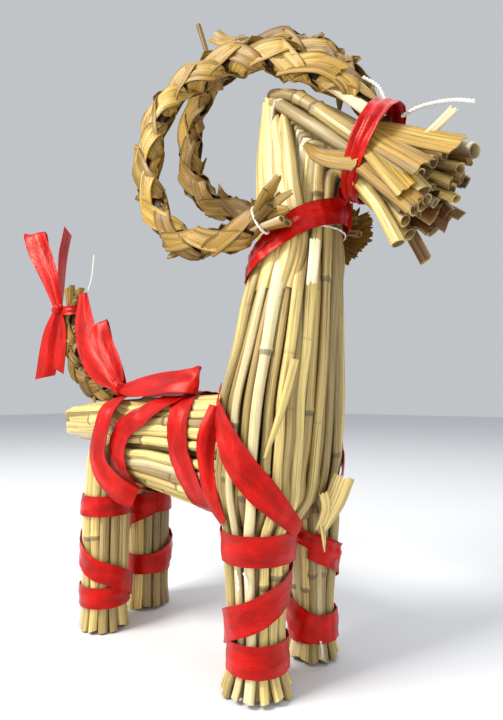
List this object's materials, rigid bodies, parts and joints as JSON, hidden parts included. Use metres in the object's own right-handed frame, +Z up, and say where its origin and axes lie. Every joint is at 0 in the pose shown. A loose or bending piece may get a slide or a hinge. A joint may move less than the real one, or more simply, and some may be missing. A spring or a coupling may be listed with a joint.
{
  "type": "straw goat ornament",
  "caption": "Standing straw Yule goat ornament with curved plaited horns and an upright tail, bound with red satin ribbon and bows.",
  "frame": {"origin": "centre of the part's bounding box, at the ground under the feet", "axes": "+Z up, +X towards the goat's snout, +Y to the goat's left"},
  "size_m": [0.276, 0.0756, 0.2926],
  "materials": {
    "straw": "pale dry straw stalks, satin, with fine lengthwise grain",
    "plaited_straw": "golden brown flattened straw leaf, satin, folded and plaited",
    "red_satin": "red satin ribbon, glossy, with a fine diagonal weave",
    "white_string": "off-white twisted cotton string, matt"
  },
  "bodies": {
    "root": {"right_front_leg_straw": "straw", "left_front_leg_straw": "straw", "right_hind_leg_straw": "straw", "left_hind_leg_straw": "straw", "neck_straw": "straw", "head_straw": "straw", "trunk_straw": "straw", "right_horn": "plaited_straw", "left_horn": "plaited_straw", "tail_plait": "plaited_straw", "broken_stalk": "straw", "right_front_leg_ribbon": "red_satin", "left_front_leg_ribbon": "red_satin", "right_hind_leg_ribbon": "red_satin", "left_hind_leg_ribbon": "red_satin", "right_breast_ribbon": "red_satin", "left_breast_ribbon": "red_satin", "right_rump_ribbon": "red_satin", "left_rump_ribbon": "red_satin", "rear_girth_ribbon": "red_satin", "front_girth_ribbon": "red_satin", "back_bow": "red_satin", "tail_ribbon_strand": "red_satin", "tail_ribbon_loop": "red_satin", "tail_bow": "red_satin", "halter_ribbon": "red_satin", "collar_ribbon": "red_satin", "neck_string": "white_string", "right_horn_thread": "white_string", "left_horn_thread": "white_string", "snout_string_short_end": "white_string", "snout_string_long_end": "white_string", "tail_thread": "white_string"}
  },
  "joints": []
}
